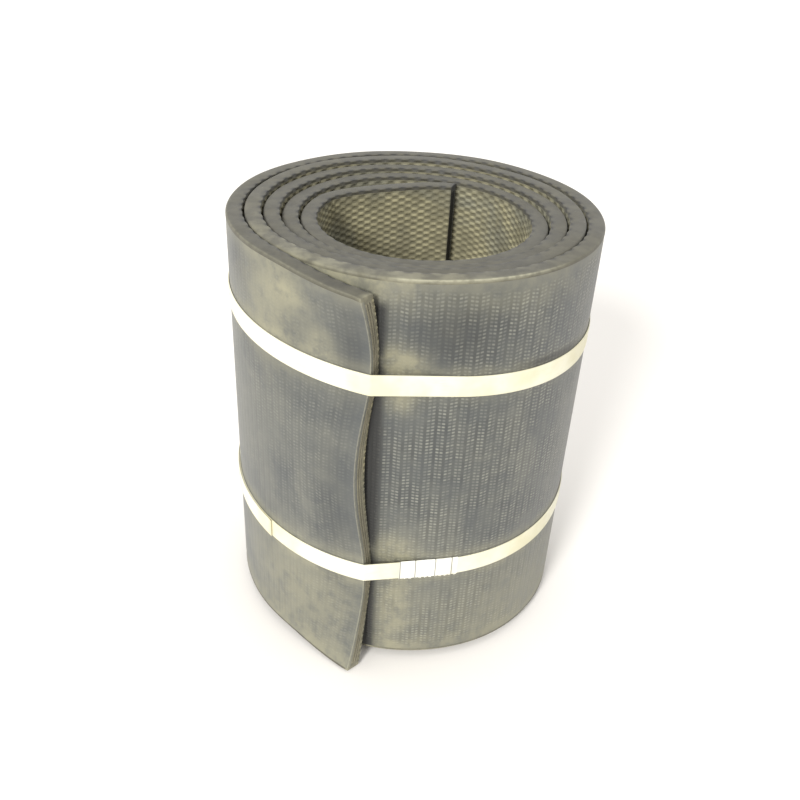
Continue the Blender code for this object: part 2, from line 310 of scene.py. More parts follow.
def zip_ring(face_rows, back_rows, first):
    """Triangles that close a ring whose first points run up the face and the rest down the
    back: each step of the face meets the back point beside it, and each step of the back
    meets the face point where that partner changes."""
    face = np.arange(face_rows - 1)
    partner = np.rint((face + 0.5) / (face_rows - 1) * (back_rows - 1)).astype(int)
    back_point = face_rows + back_rows - 1 - partner
    along_face = np.stack([face, face + 1, back_point], axis=-1)
    step = np.arange(back_rows - 1)
    meeting = np.searchsorted(partner, step + 1)
    top = face_rows + back_rows - 1
    along_back = np.stack([top - step - 1, top - step, meeting], axis=-1)
    return np.concatenate([along_face, along_back]) + first


def tube(points, face_rows=None):
    """Faces of a tube of rings, (columns, ring, 3), closed at both ends: by a zip where the
    ring has a face and a back, and otherwise by one polygon."""
    columns, ring = points.shape[:2]
    last = (columns - 1) * ring
    if face_rows is None:
        outline = np.arange(ring)[None]
        return [ring_quads(columns, ring), outline[:, ::-1], outline + last]
    back_rows = ring - face_rows
    start = zip_ring(face_rows, back_rows, 0)[:, ::-1]
    return [ring_quads(columns, ring), start, zip_ring(face_rows, back_rows, last)]


print("faces of a tube of 3 rings of 8:", [len(group) for group in tube(np.zeros((3, 8, 3)), 5)])

# %% [markdown]
# ## From arrays to a mesh
# Blender can recalculate normals in edit mode or on a bmesh. For a closed body the volume with
# its sign answers the same question at once: if it is negative, the body is inside out, and
# every face is turned round.

# %% Volume and mesh
def signed_volume(points, faces):
    """Six times a closed body's volume is the sum of the triple products of its triangles."""
    total = 0.0
    for group in faces:
        for second in range(1, group.shape[1] - 1):
            a, b, c = (points[group[:, index]] for index in (0, second, second + 1))
            total += np.einsum("ij,ij->", a, np.cross(b, c))
    return total / 6.0


def write_mesh(name, points, faces, uv, marks, sharp_deg=40.0):
    """Write points in mm as a mesh in metres, with its UV map and its point attributes, and
    turn every face round if the body came out inside out."""
    if signed_volume(points, faces) < 0.0:
        faces = [group[:, ::-1] for group in faces]
    mesh = bpy.data.meshes.new(name)
    polygons = [polygon for group in faces for polygon in group.tolist()]
    mesh.from_pydata((points * METRES).tolist(), [], polygons)
    loops = np.empty(len(mesh.loops), dtype=np.int32)
    mesh.loops.foreach_get("vertex_index", loops)
    layer = mesh.uv_layers.new(name="strip")
    layer.data.foreach_set("uv", uv[loops].astype(np.float32).ravel())
    for label, values in marks.items():
        spot = mesh.attributes.new(label, "FLOAT", "POINT")
        spot.data.foreach_set("value", np.broadcast_to(values, len(points)).astype(np.float32))
    mesh.shade_smooth()
    mesh.set_sharp_from_angle(angle=math.radians(sharp_deg))
    made = bpy.data.objects.new(name, mesh)
    bpy.context.scene.collection.objects.link(made)
    triangles = sum(len(group) * (group.shape[1] - 2) for group in faces)
    print(f"{name}: {triangles} triangles, {signed_volume(points, faces) / 1000.0:.1f} cm3")
    return made


pyramid = np.array([[0.0, 0.0, 0.0], [6.0, 0.0, 0.0], [0.0, 1.0, 0.0], [0.0, 0.0, 1.0]])
pyramid_faces = [np.array([[0, 2, 1], [0, 1, 3], [0, 3, 2], [1, 2, 3]])]
print("volume of a pyramid with sides 6, 1 and 1:", signed_volume(pyramid, pyramid_faces))

# %% [markdown]
# ## Slabs and lengths
# A layer needs fine rows only where it is seen. So it is made in lengths, each a slab with its
# own rows, and the lengths are put into one mesh. Cutting a fine mesh with Decimate would be
# less work, but it would leave triangles of every shape.


# %% Slabs, and several lengths as one
def slab(runs, face_heights, face_depth, back_heights, back_depth):
    """One length of a layer. The ring goes up the face and down the back, and face_depth is
    a function of run and height, so that the face can carry relief."""
    heights = np.concatenate([face_heights, back_heights[::-1]])
    run, height = np.meshgrid(runs, heights, indexing="ij")
    rows = len(face_heights)
    depth = np.full(run.shape, back_depth)
    depth[:, :rows] = face_depth(run[:, :rows], height[:, :rows])
    points = strip_points(run, height, depth)
    return points, tube(points, rows), run, height, depth


def join_lengths(lengths):
    """Several closed lengths as one mesh, their points one after another, with each point's
    run and height, and its depth."""
    points, faces, uv, depths, first = [], [], [], [], 0
    for body, groups, run, height, depth in lengths:
        points.append(body.reshape(-1, 3))
        faces += [group + first for group in groups]
        uv.append(np.stack([run.ravel(), height.ravel()], axis=-1))
        depths.append(depth.ravel())
        first += run.size
    return np.concatenate(points), faces, np.concatenate(uv), np.concatenate(depths)


sample = slab(np.arange(3.0), np.arange(5.0), lambda run, height: 0.0 * run, np.arange(3.0), 1.0)
print("points of a slab with 3 rings, 5 rows of face and 3 of back:", sample[0].shape[:2])

# %% [markdown]
# ## Tools for materials
# A material is a small graph of nodes. Writing the same three lines for every node hides the
# idea, so one helper adds a node and joins its inputs, and another makes a group with named
# sockets. Groups put out only masks and heights; each finish keeps its own Principled shader.

# %% Nodes, maths and mixing
def feed(tree, socket, value):
    """Join a socket to another one, or give it a plain value."""
    if isinstance(value, bpy.types.NodeSocket):
        tree.links.new(value, socket)
    else:
        socket.default_value = value


def node(tree, kind, inputs=None, **settings):
    """Add a node by the last part of its type's name, with its settings and its inputs."""
    made = tree.nodes.new(f"ShaderNode{kind}")
    for label, value in settings.items():
        setattr(made, label, value)
    for key, value in (inputs or {}).items():
        feed(tree, made.inputs[key], value)
    return made


def maths(tree, operation, first, second=0.0, third=0.0):
    """One step of arithmetic, on numbers or sockets."""
    values = {0: first, 1: second, 2: third}
    return node(tree, "Math", values, operation=operation).outputs[0]


def product(tree, first, *others):
    """The factors multiplied one after another."""
    for other in others:
        first = maths(tree, "MULTIPLY", first, other)
    return first


def ramp(tree, value, low, high, to_low=0.0, to_high=1.0):
    """A smooth step from one value to another."""
    inputs = {"Value": value, "From Min": low, "From Max": high, "To Min": to_low, "To Max": to_high}
    return node(tree, "MapRange", inputs, interpolation_type="SMOOTHSTEP").outputs["Result"]


def blend(tree, share, first, second):
    """Mix two colours by a share."""
    made = node(tree, "Mix", {"Factor": share}, data_type="RGBA")
    colour_in = [socket for socket in made.inputs if socket.type == "RGBA"]
    for socket, value in zip(colour_in, (first, second)):
        feed(tree, socket, (*value, 1.0) if isinstance(value, tuple) else value)
    return [socket for socket in made.outputs if socket.type == "RGBA"][0]


def noise(tree, place, scale, detail=4.0, roughness=0.55, distortion=0.0):
    """Soft random values round 0.5; the scale is in waves to a unit of the place."""
    inputs = {"Vector": place, "Scale": scale, "Detail": detail, "Roughness": roughness,
              "Distortion": distortion}
    return node(tree, "TexNoise", inputs).outputs["Fac"]


def mottle(tree, place, scale, low, high, least, detail=4.0, roughness=0.55):
    """Noise as an uneven strength, from its least value to 1."""
    return ramp(tree, noise(tree, place, scale, detail, roughness), low, high, least, 1.0)


TOOLS = (node, maths, product, ramp, blend, noise, mottle)
print("tools for materials:", ", ".join(tool.__name__ for tool in TOOLS))

# %% [markdown]
# ## Node groups
# A group is a material's own tool: built once, then placed in each material that needs it
# with its own values. Its sockets are declared first, and its nodes are laid between them.

# %% Groups and their use
def new_group(name, inputs, outputs):
    """A node group with named sockets: (label, type) pairs in and out."""
    tree = bpy.data.node_groups.new(name, "ShaderNodeTree")
    for way, sockets in (("INPUT", inputs), ("OUTPUT", outputs)):
        for label, kind in sockets:
            tree.interface.new_socket(label, in_out=way, socket_type=f"NodeSocket{kind}")
    return tree, tree.nodes.new("NodeGroupInput").outputs, tree.nodes.new("NodeGroupOutput").inputs


def use(tree, group, **inputs):
    """Place a group in a tree, and feed its sockets by name."""
    made = node(tree, "Group", node_tree=group)
    for label, value in inputs.items():
        feed(tree, made.inputs[label], value)
    return made.outputs


# %% [markdown]
# ## The cloth print
# The rubber was cured against a coarse cloth, which left short dashes in paired columns. Each
# pair slants the other way from its neighbour, and every dash is rubbed to its own shade.
# The dashes are 2 mm apart and a tenth of a millimetre deep, too small to be worth modelling
# over the whole roll, so the columns are in the mesh and the dashes are in the material.

# %% Group: cloth print
PRINT_PAIR, PRINT_ROW = 5.35, 2.05        # mm along the strip and up it
PRINT_SLANT = 0.19
DOT_OUT, DOT_CORE, DOT_EDGE = 1.12, 0.35, 1.12    # mm from a pair's middle, and from a dot's
COLUMN_CORE, COLUMN_EDGE = 1.6, 2.45


def make_cloth_print():
    """Divide the strip into pairs and rows; within a cell, a dot is a bump either side of the
    pair's middle, and a cosine up the rows, whose phase slants by turns left and right."""
    tree, given, out = new_group("cloth print", [("Strip", "Vector")],
                                 [("Height", "Float"), ("Dash", "Float")])
    split = node(tree, "SeparateXYZ", {0: given["Strip"]}).outputs
    pair = maths(tree, "DIVIDE", split[0], PRINT_PAIR)
    index = maths(tree, "FLOOR", pair)
    centred = maths(tree, "SUBTRACT", maths(tree, "SUBTRACT", pair, index), 0.5)
    across = product(tree, centred, PRINT_PAIR)
    parity = maths(tree, "MULTIPLY_ADD", maths(tree, "MODULO", index, 2.0), 2.0, -1.0)
    slant = product(tree, across, parity, PRINT_SLANT)
    row = maths(tree, "DIVIDE", maths(tree, "ADD", split[1], slant), PRINT_ROW)
    row_index = maths(tree, "FLOOR", row)
    up = maths(tree, "SUBTRACT", maths(tree, "SUBTRACT", row, row_index), 0.5)
    ridge = maths(tree, "COSINE", product(tree, up, 2.0 * math.pi))
    side = maths(tree, "ABSOLUTE", across)
    off_dot = maths(tree, "ABSOLUTE", maths(tree, "SUBTRACT", side, DOT_OUT))
    dot = product(tree, ramp(tree, side, COLUMN_EDGE, COLUMN_CORE),
                  ramp(tree, off_dot, DOT_EDGE, DOT_CORE, 0.15, 1.0))
    half = maths(tree, "MULTIPLY_ADD", index, 2.0, maths(tree, "GREATER_THAN", across, 0.0))
    cell = node(tree, "CombineXYZ", {0: half, 1: row_index}).outputs[0]
    chance = node(tree, "TexWhiteNoise", {"Vector": cell}, noise_dimensions="3D").outputs["Value"]
    bright = ramp(tree, chance, 0.0, 1.0, 0.3, 1.0)
    tree.links.new(product(tree, dot, ramp(tree, ridge, -0.5, 0.8, 0.35, 1.0)), out["Height"])
    tree.links.new(product(tree, dot, ramp(tree, ridge, -0.7, 0.85), bright), out["Dash"])
    return tree


CLOTH_PRINT = make_cloth_print()
print("cloth print nodes:", len(CLOTH_PRINT.nodes))

# %% [markdown]
# ## The coarse weave
# The inner face is bare cloth soaked in rubber. Its knuckles lie in columns, each half a
# repeat lower than the last, as in a plain weave. Two slanting cosine waves added together
# have their peaks on just such a lattice. The same sum shapes the mesh, in numpy, and drives
# the colour, in nodes, so dust settles on the knuckles that are really there.

# %% The weave's lattice, as a relief and as a group
KNUCKLE_RUN, KNUCKLE_RISE = 4.55, 4.1     # mm between columns, and between knuckles in one
WEAVE_WAVES = ((0.5 / KNUCKLE_RUN, 1.0 / KNUCKLE_RISE), (0.5 / KNUCKLE_RUN, -1.0 / KNUCKLE_RISE))
WEAVE_LOW, WEAVE_HIGH = -0.9, 0.9
WEAVE_DEPTH = 0.75


def weave_height(run, height):
    """0 in a valley and 1 on a knuckle: the mean of two cosine waves, rescaled."""
    total = sum(0.5 * np.cos(2.0 * math.pi * (run * along + height * up)) for along, up in WEAVE_WAVES)
    return fraction((total - WEAVE_LOW) / (WEAVE_HIGH - WEAVE_LOW))


def make_weave():
    """The same waves as nodes, roughened by noise that is drawn out along the strip."""
    tree, given, out = new_group("coarse weave", [("Strip", "Vector")],
                                 [("Height", "Float"), ("Crown", "Float")])
    split = node(tree, "SeparateXYZ", {0: given["Strip"]}).outputs
    total = 0.0
    for along, up in WEAVE_WAVES:
        phase = maths(tree, "MULTIPLY_ADD", split[0], along, product(tree, split[1], up))
        wave = maths(tree, "COSINE", product(tree, phase, 2.0 * math.pi))
        total = maths(tree, "MULTIPLY_ADD", wave, 0.5, total)
    drawn = node(tree, "Mapping", {"Vector": given["Strip"], "Scale": (0.35, 2.6, 1.0)})
    strands = maths(tree, "SUBTRACT", noise(tree, drawn.outputs[0], 1.0, 3.0), 0.5)
    rough = maths(tree, "MULTIPLY_ADD", strands, 0.9, total)
    tree.links.new(ramp(tree, rough, WEAVE_LOW, WEAVE_HIGH), out["Height"])
    tree.links.new(ramp(tree, rough, -0.55, 0.75), out["Crown"])
    return tree


COARSE_WEAVE = make_weave()
quarters = np.arange(4) * KNUCKLE_RISE / 4.0
print("relief at each quarter of a knuckle, mm:", (weave_height(0.0, quarters) * WEAVE_DEPTH).round(2))

# %% [markdown]
# ## Dust, grain and specks
# Stored rubber blooms and gathers dust: broad pale patches, a fine grain, and a few bright
# specks. They are the same on every surface of the belting, only stronger or weaker, so each
# is a group with its strength as an input.

# %% Groups: patches, grain and specks
def make_patches():
    """Broad noise, cut to a mask by a soft step round a level."""
    sockets = [("Place", "Vector"), ("Scale", "Float"), ("Level", "Float")]
    tree, given, out = new_group("dust patches", sockets, [("Mask", "Float")])
    broad = noise(tree, given["Place"], given["Scale"], 5.0, 0.6, 0.6)
    low = maths(tree, "SUBTRACT", given["Level"], 0.12)
    high = maths(tree, "ADD", given["Level"], 0.12)
    tree.links.new(ramp(tree, broad, low, high), out["Mask"])
    return tree


def make_grain():
    """Fine noise on coarser noise as a height, and the peaks of a third one as specks."""
    tree, given, out = new_group("rubber grain", [("Place", "Vector")],
                                 [("Height", "Float"), ("Speck", "Float")])
    fine = noise(tree, given["Place"], 2600.0, 3.0, 0.7)
    coarse = noise(tree, given["Place"], 420.0, 4.0, 0.6)
    tree.links.new(maths(tree, "MULTIPLY_ADD", fine, 0.5, coarse), out["Height"])
    tree.links.new(ramp(tree, noise(tree, given["Place"], 900.0, 2.0), 0.74, 0.8), out["Speck"])
    return tree


PATCHES, GRAIN = make_patches(), make_grain()
print("patch nodes:", len(PATCHES.nodes), "- grain nodes:", len(GRAIN.nodes))

# %% [markdown]
# ## What a finish starts and ends with
# Black rubber is a plain Principled surface: no metal, no coat, a high roughness. All that
# tells its parts apart is colour and a fine bump. So each finish starts with the coordinates
# of the object and of the strip, mixes its colours, and ends with the same three links.

# %% Colours and the ends of a finish
# Black is bare rubber's colour, and also painted shade in the nook, in the scallops, in the print's hollows
# and at the inner cut end.
SHADE_AND_RUBBER_BLACK = (0.012, 0.012, 0.011)
RUBBER_DARK, RUBBER_PALE = (0.060, 0.066, 0.068), (0.130, 0.131, 0.112)
RIM_DARK, RIM_PALE = (0.042, 0.039, 0.029), (0.083, 0.076, 0.053)
DUST_TAN, WEAVE_DUST = (0.285, 0.268, 0.178), (0.18, 0.168, 0.115)
DASH_PALE = (0.255, 0.256, 0.212)
COVER_HIGHLIGHT, RIM_WEAR_AND_HIGHLIGHT = (0.40, 0.38, 0.27), (0.34, 0.325, 0.23)
COVER_SPECK, RIM_SPECK = (0.5, 0.5, 0.42), (0.5, 0.48, 0.38)
VALLEYS = (0.135, 0.130, 0.094), (0.165, 0.150, 0.091)      # clean, dusty
CROWNS = (0.28, 0.270, 0.192), (0.40, 0.365, 0.218)


def new_finish(name):
    """A material with one Principled shader, the object's coordinates and the strip's UV."""
    made = bpy.data.materials.new(name)
    made.use_nodes = True
    tree = made.node_tree
    place = node(tree, "TexCoord").outputs["Object"]
    flat = node(tree, "UVMap", uv_map="strip").outputs[0]
    return made, tree, tree.nodes["Principled BSDF"], place, flat


def mark(tree, label):
    """A point attribute of the mesh, such as where dust lies, as a value."""
    return node(tree, "Attribute", attribute_name=label, attribute_type="GEOMETRY").outputs["Fac"]


def two_patches(tree, place, broad_scale, fine_scale, broad_share, fine_share, fine_level=0.5):
    """Broad patches, and the sum of broad and fine ones as a share."""
    broad = use(tree, PATCHES, Place=place, Scale=broad_scale, Level=0.5)["Mask"]
    fine = use(tree, PATCHES, Place=place, Scale=fine_scale, Level=fine_level)["Mask"]
    return broad, maths(tree, "MULTIPLY_ADD", broad, broad_share, product(tree, fine, fine_share))


def finish_with(tree, shader, colour, roughness, height, distance):
    """Join colour and roughness to the shader, and a height through a bump in metres."""
    tree.links.new(colour, shader.inputs["Base Color"])
    tree.links.new(roughness, shader.inputs["Roughness"])
    bump = node(tree, "Bump", {"Height": height, "Distance": distance, "Strength": 1.0})
    tree.links.new(bump.outputs[0], shader.inputs["Normal"])


def tail_painted_shade(run):
    """Painted shade: the inner cut end sits in shadow, so it is painted black for its last millimetre."""
    return fraction((run - STRIP_LENGTH + 1.2) / 0.4)


# The tail's black is painted shade.
print("soot at the last millimetres:", tail_painted_shade(STRIP_LENGTH - np.arange(3)).round(2))

# %% [markdown]
# ## Finish of the cover
# The cover is dark rubber, blotched paler, with the print rubbed unevenly. The colours go on
# in this order: rubber, painted shade between the dashes, pale dashes, dust, painted shade
# in the nook with clean rubber, a painted highlight on the cut's corner, and specks last.

# %% Cover rubber
def cover_finish():
    made, tree, shader, place, flat = new_finish("cover_rubber")
    printed = use(tree, CLOTH_PRINT, Strip=flat)
    grain = use(tree, GRAIN, Place=place)
    _, pale = two_patches(tree, place, 17.0, 70.0, 0.6, 0.25, 0.52)
    rubbed = product(tree, mottle(tree, place, 42.0, 0.33, 0.6, 0.3),
                     mottle(tree, place, 150.0, 0.3, 0.6, 0.55))
    shown = product(tree, mark(tree, "print"), rubbed)
    sunk = maths(tree, "SUBTRACT", 1.0, printed["Height"])
    dust = product(tree, mark(tree, "dust"), mottle(tree, place, 110.0, 0.3, 0.6, 0.45, 6.0, 0.65))
    wear_and_highlight = product(tree, mark(tree, "wear_and_highlight"), mottle(tree, place, 500.0, 0.3, 0.6, 0.5))
    colour = blend(tree, pale, RUBBER_DARK, RUBBER_PALE)
    # Painted shade in the sunk parts of the print.
    colour = blend(tree, product(tree, sunk, shown, 0.42), colour, SHADE_AND_RUBBER_BLACK)
    colour = blend(tree, product(tree, printed["Dash"], shown, 0.92), colour, DASH_PALE)
    colour = blend(tree, dust, colour, DUST_TAN)
    # Painted shade in the nook and at the inner cut end, and clean rubber where a strap lay.
    colour = blend(tree, mark(tree, "painted_shade_and_bare_rubber"), colour, SHADE_AND_RUBBER_BLACK)
    # Painted highlight on the cut's outer corner.
    colour = blend(tree, wear_and_highlight, colour, COVER_HIGHLIGHT)
    colour = blend(tree, product(tree, grain["Speck"], 0.25), colour, COVER_SPECK)
    height = maths(tree, "ADD", product(tree, printed["Height"], shown), product(tree, grain["Height"], 0.25))
    finish_with(tree, shader, colour, ramp(tree, dust, 0.0, 1.0, 0.52, 0.85), height, 0.00016)
    shader.inputs["Sheen Weight"].default_value = 0.12
    return made


COVER = cover_finish()
print("cover nodes:", len(COVER.node_tree.nodes))

# %% [markdown]
# ## Finish of the rims
# The rims are browner than the cover and have no print. Their marks are dust where the turns
# open, a pale line where the outer corner is rubbed, which at the front and at the cut is a
# painted highlight, and painted shade in the scallops.

# %% Rim rubber
def rim_finish():
    made, tree, shader, place, _ = new_finish("rim_rubber")
    grain = use(tree, GRAIN, Place=place)
    broad, pale = two_patches(tree, place, 30.0, 160.0, 0.45, 0.3)
    dust = product(tree, mark(tree, "dust"), mottle(tree, place, 90.0, 0.35, 0.65, 0.3))
    wear_and_highlight = product(tree, mark(tree, "wear_and_highlight"), mottle(tree, place, 300.0, 0.3, 0.6, 0.4))
    colour = blend(tree, pale, RIM_DARK, RIM_PALE)
    colour = blend(tree, dust, colour, DUST_TAN)
    # A little wear on the outer corner, and a painted highlight on it at the front and at the cut.
    colour = blend(tree, wear_and_highlight, colour, RIM_WEAR_AND_HIGHLIGHT)
    # Painted shade in the scallops and at the inner cut end.
    colour = blend(tree, mark(tree, "painted_shade_and_bare_rubber"), colour, SHADE_AND_RUBBER_BLACK)
    colour = blend(tree, product(tree, grain["Speck"], 0.4), colour, RIM_SPECK)
    finish_with(tree, shader, colour, ramp(tree, broad, 0.0, 1.0, 0.6, 0.8), grain["Height"], 0.00006)
    shader.inputs["Sheen Weight"].default_value = 0.1
    return made


RIM = rim_finish()
print("rim nodes:", len(RIM.node_tree.nodes))

# %% [markdown]
# ## Finish of the weave
# Dust catches on the knuckles and not in the valleys. The group's crown mask follows the
# same lattice as the mesh, so it can choose between a valley colour and a crown colour.

# %% Woven face
def weave_finish():
    made, tree, shader, place, flat = new_finish("woven_face")
    woven = use(tree, COARSE_WEAVE, Strip=flat)
    grain = use(tree, GRAIN, Place=place)
    broad = use(tree, PATCHES, Place=place, Scale=24.0, Level=0.46)["Mask"]
    faded = mottle(tree, place, 75.0, 0.32, 0.6, 0.2, 5.0, 0.6)
    shown = product(tree, woven["Crown"], faded, mark(tree, "print"))
    colour = blend(tree, shown, blend(tree, broad, *VALLEYS), blend(tree, broad, *CROWNS))
    colour = blend(tree, mark(tree, "dust"), colour, WEAVE_DUST)
    # Painted shade at the inner cut end.
    colour = blend(tree, mark(tree, "painted_shade_and_bare_rubber"), colour, SHADE_AND_RUBBER_BLACK)
    height = maths(tree, "MULTIPLY_ADD", grain["Height"], 0.3, woven["Height"])
    finish_with(tree, shader, colour, ramp(tree, woven["Crown"], 0.0, 1.0, 0.95, 0.8), height, 0.00035)
    return made


WEAVE = weave_finish()
print("weave nodes:", len(WEAVE.node_tree.nodes))

# %% [markdown]
# ## Finish of the cut plies
# Cloth and skim rubber are seen only where they were cut, as short torn fibres. One function
# makes both, because they differ only in colour and in how fine the fibres are.

# %% Ply and skim
def ply_finish(name, pale, dark, scale):
    """Noise drawn out sideways gives the fibres, and patches make them uneven."""
    made, tree, shader, place, _ = new_finish(name)
    stretched = node(tree, "Mapping", {"Vector": place, "Scale": (1.0, 1.0, 2.2)}).outputs[0]
    fibres = noise(tree, stretched, scale, 4.0, 0.7)
    patches = use(tree, PATCHES, Place=place, Scale=45.0, Level=0.5)["Mask"]
    share = maths(tree, "MULTIPLY_ADD", patches, 0.35, ramp(tree, fibres, 0.35, 0.65, 0.0, 0.65))
    # Painted shade at the inner cut end, over the fibres.
    colour = blend(tree, mark(tree, "painted_shade_and_bare_rubber"), blend(tree, share, dark, pale), SHADE_AND_RUBBER_BLACK)
    finish_with(tree, shader, colour, ramp(tree, fibres, 0.3, 0.7, 0.8, 0.95), fibres, 0.0001)
    return made


PLY = ply_finish("ply_fabric", (0.30, 0.275, 0.19), (0.13, 0.12, 0.085), 1400.0)
SKIM = ply_finish("skim_rubber", (0.15, 0.14, 0.10), (0.06, 0.058, 0.048), 800.0)
print("cut finishes:", PLY.name, SKIM.name)


def stand_for(piece, node_name, body, finish):
    """Give a piece its finish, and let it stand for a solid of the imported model."""
    piece.data.materials.append(finish)
    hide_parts(node_name)
    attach(piece, body)


# %% [markdown]
# ## The rubber cover
# The cover is the outside of the roll. The turn that shows gets a fine mesh, whose columns
# follow the cloth print; the turns under it only show their rims, so they get a plain one.
# Attributes carry what depends on the place: where dust lies and where the print was moulded.

# %% Cover: relief and print
RIM_LIP = 2.0                             # the moulded rim takes this much of the cover's edge
DEPTH_SEAMS = (COVER_THICKNESS + BOND_GAP / 2.0, BELT_THICKNESS - FACE_THICKNESS - BOND_GAP / 2.0)
SEAM = 0.01                               # between layers that are bonded to each other
COLUMN_RELIEF = 0.07
PRINT_BORDER = 7.2
FAINT_PRINT = (0.6, (26.0, 222.0), (16.0, 26.0))     # strength, middle and size of a patch


def print_mark(run, height):
    """The print stops short of both edges, along a slightly wavy line."""
    border = PRINT_BORDER + np.sin(run / 17.0) + 0.7 * np.sin(run / 5.3 + 2.0)
    inside = np.minimum(height, BELT_WIDTH - height) - border
    return fraction(inside / 2.5 + 0.5)


def cover_relief(run, height):
    """The pairs of printed columns stand a little proud: a cosine along the strip."""
    pairs = 0.5 - 0.5 * np.cos(2.0 * math.pi * run / PRINT_PAIR)
    return COLUMN_RELIEF * (1.0 - pairs * print_mark(run, height))


def patches(winding, height, *listed):
    """Soft oval patches, each a bell curve in degrees round times one in mm up."""
    return sum(strength * hump(winding, middle[0], size[0]) * hump(height, middle[1], size[1])
               for strength, middle, size in listed)


def cover_print(run, height):
    """The print is crisp on the front and faint on the free end, which was handled most."""
    winding = winding_at(run)
    front = fraction((winding - 200.0) / 60.0)
    smooth = 0.8 * fraction(1.0 - winding / 9.0) ** 1.5 + patches(winding, height, FAINT_PRINT)
    return print_mark(run, height) * (0.42 + 0.5 * front) * (1.0 - np.clip(smooth, 0.0, 0.9))


print("print at 0, 5, 10 and 100 mm up:", print_mark(0.0, np.array([0.0, 5.0, 10.0, 100.0])).round(2))

# %% [markdown]
# ## Where dust, clean rubber and painted shade lie
# Dust, clean rubber and painted shade could be painted by hand in Texture Paint. Here each is a sum of soft
# patches, placed by degrees round the roll and millimetres up it, or up from a strap. Dust and clean rubber
# tell how the
# roll was kept: dust gathers against the straps, and a strap that slips bares clean rubber. The dark
# beside the free end is painted shade.

# %% Cover: dust, painted shade, clean rubber and painted highlight
BESIDE_UPPER = (1.25, (353.0, 10.0), (5.0, 5.5)), (0.7, (353.0, -11.0), (3.5, 6.0))
BESIDE_LOWER = (0.75, (352.0, 10.0), (5.0, 7.0)), (0.6, (351.0, -32.0), (5.0, 26.0))
SMEARS = ((0.6, (32.0, 222.0), (9.0, 22.0)), (0.55, (14.0, 215.0), (3.0, 7.0)),
          (0.5, (24.0, 236.0), (5.0, 5.0)), (0.5, (20.0, 40.0), (20.0, 26.0)),
          (0.22, (318.0, 238.0), (26.0, 6.0)), (0.35, (304.0, 30.0), (30.0, 20.0)))
TUCKED = (0.9, (366.0, BELT_WIDTH), (11.0, 9.0))
CLEANED = ((0.45, (338.0, 222.0), (10.0, 15.0)), (0.3, (5.0, 215.0), (3.0, 22.0)),
           (0.3, (50.0, 236.0), (6.0, 9.0)), (0.2, (8.0, 120.0), (5.0, 40.0)))
# Where the painted shade beside the free end lies, how fast it fades and where it stops below the top.
NOOK_DEG, NOOK_FADE_DEG, NOOK_TOP = 358.2, 1.15, 11.0
SLIPPED_UP, SLIPPED_AT_DEG = 8.4, 301.0


def strap_offsets(run, height):
    """Winding, and heights in mm above the middle of the upper and of the lower strap."""
    winding = winding_at(run)
    level = lower_edge(winding) + height
    theta_deg = OUTER_END_DEG - winding
    return winding, level - strap_height(UPPER_STRAP, theta_deg), level - strap_height(LOWER_STRAP, theta_deg)


def cover_dust(run, height):
    """Dust lies along both edges, beside the straps, next to the free end where the straps
    hold it, and in a few broad smears where the roll was handled."""
    winding, upper, lower = strap_offsets(run, height)
    edges = 0.36 * hump(height, BELT_WIDTH, 4.5) + 0.5 * hump(height, 0.0, 10.0)
    straps = (0.28 * hump(upper, 8.0, 2.6) + 0.12 * hump(upper, -8.0, 2.5)
              + 0.3 * hump(np.abs(lower), 8.0, 2.6))
    beside = patches(winding, upper, *BESIDE_UPPER) + patches(winding, lower, *BESIDE_LOWER)
    smears = patches(winding, height, *SMEARS) + patches(winding, height, TUCKED) * (winding > 350.0)
    return np.clip(0.05 + edges + straps + beside + smears, 0.0, 0.9)


def cover_shade_and_bare_rubber(run, height):
    """Painted shade in the nook beside the free end, where it fades as an exponential, and at the
    inner cut end; clean dark rubber where the upper strap lay before it slipped down on the
    right-hand side, and in a few patches."""
    winding, upper, lower = strap_offsets(run, height)
    # Painted shade: the nook beside the free end is darkened where the free end shades it.
    nook_shade = 0.97 * np.exp(-np.clip(NOOK_DEG - winding, 0.0, None) / NOOK_FADE_DEG) * (winding > 300.0)
    covered = 0.4 * hump(upper, 9.5, 3.0) + 0.35 * hump(lower, 9.0, 4.0)
    nook_shade = nook_shade * (1.0 - covered) * fraction((BELT_WIDTH - NOOK_TOP - height) / 5.0)
    slipped = 0.9 * hump(upper, SLIPPED_UP, 1.6) * fraction(1.5 - np.abs(winding - SLIPPED_AT_DEG) / 13.0)
    return np.clip(nook_shade + slipped + patches(winding, height, *CLEANED) + tail_painted_shade(run), 0.0, 0.95)


def cover_cut_highlight(run, depth):
    """A painted highlight: the cut's outer corner is painted pale for half a millimetre."""
    return 0.5 * fraction(1.0 - run / 0.6) * fraction(1.0 - depth / 1.2)


# The nook's dark is painted shade.
nook_run = run_at(np.array([358.0, 355.0, 350.0]))
print("soot beside the free end, mid-height:", cover_shade_and_bare_rubber(nook_run, BELT_WIDTH / 2.0).round(2))

# %% [markdown]
# ## The cover's mesh
# The turn that shows has four columns to a pair of dashes, enough for the relief to read at
# its edge. The hidden turns are plain. Both are lengths of one mesh, since the real cover is
# one sheet.

# %% Cover mesh
SHOWN_RUN = run_at(408.0)


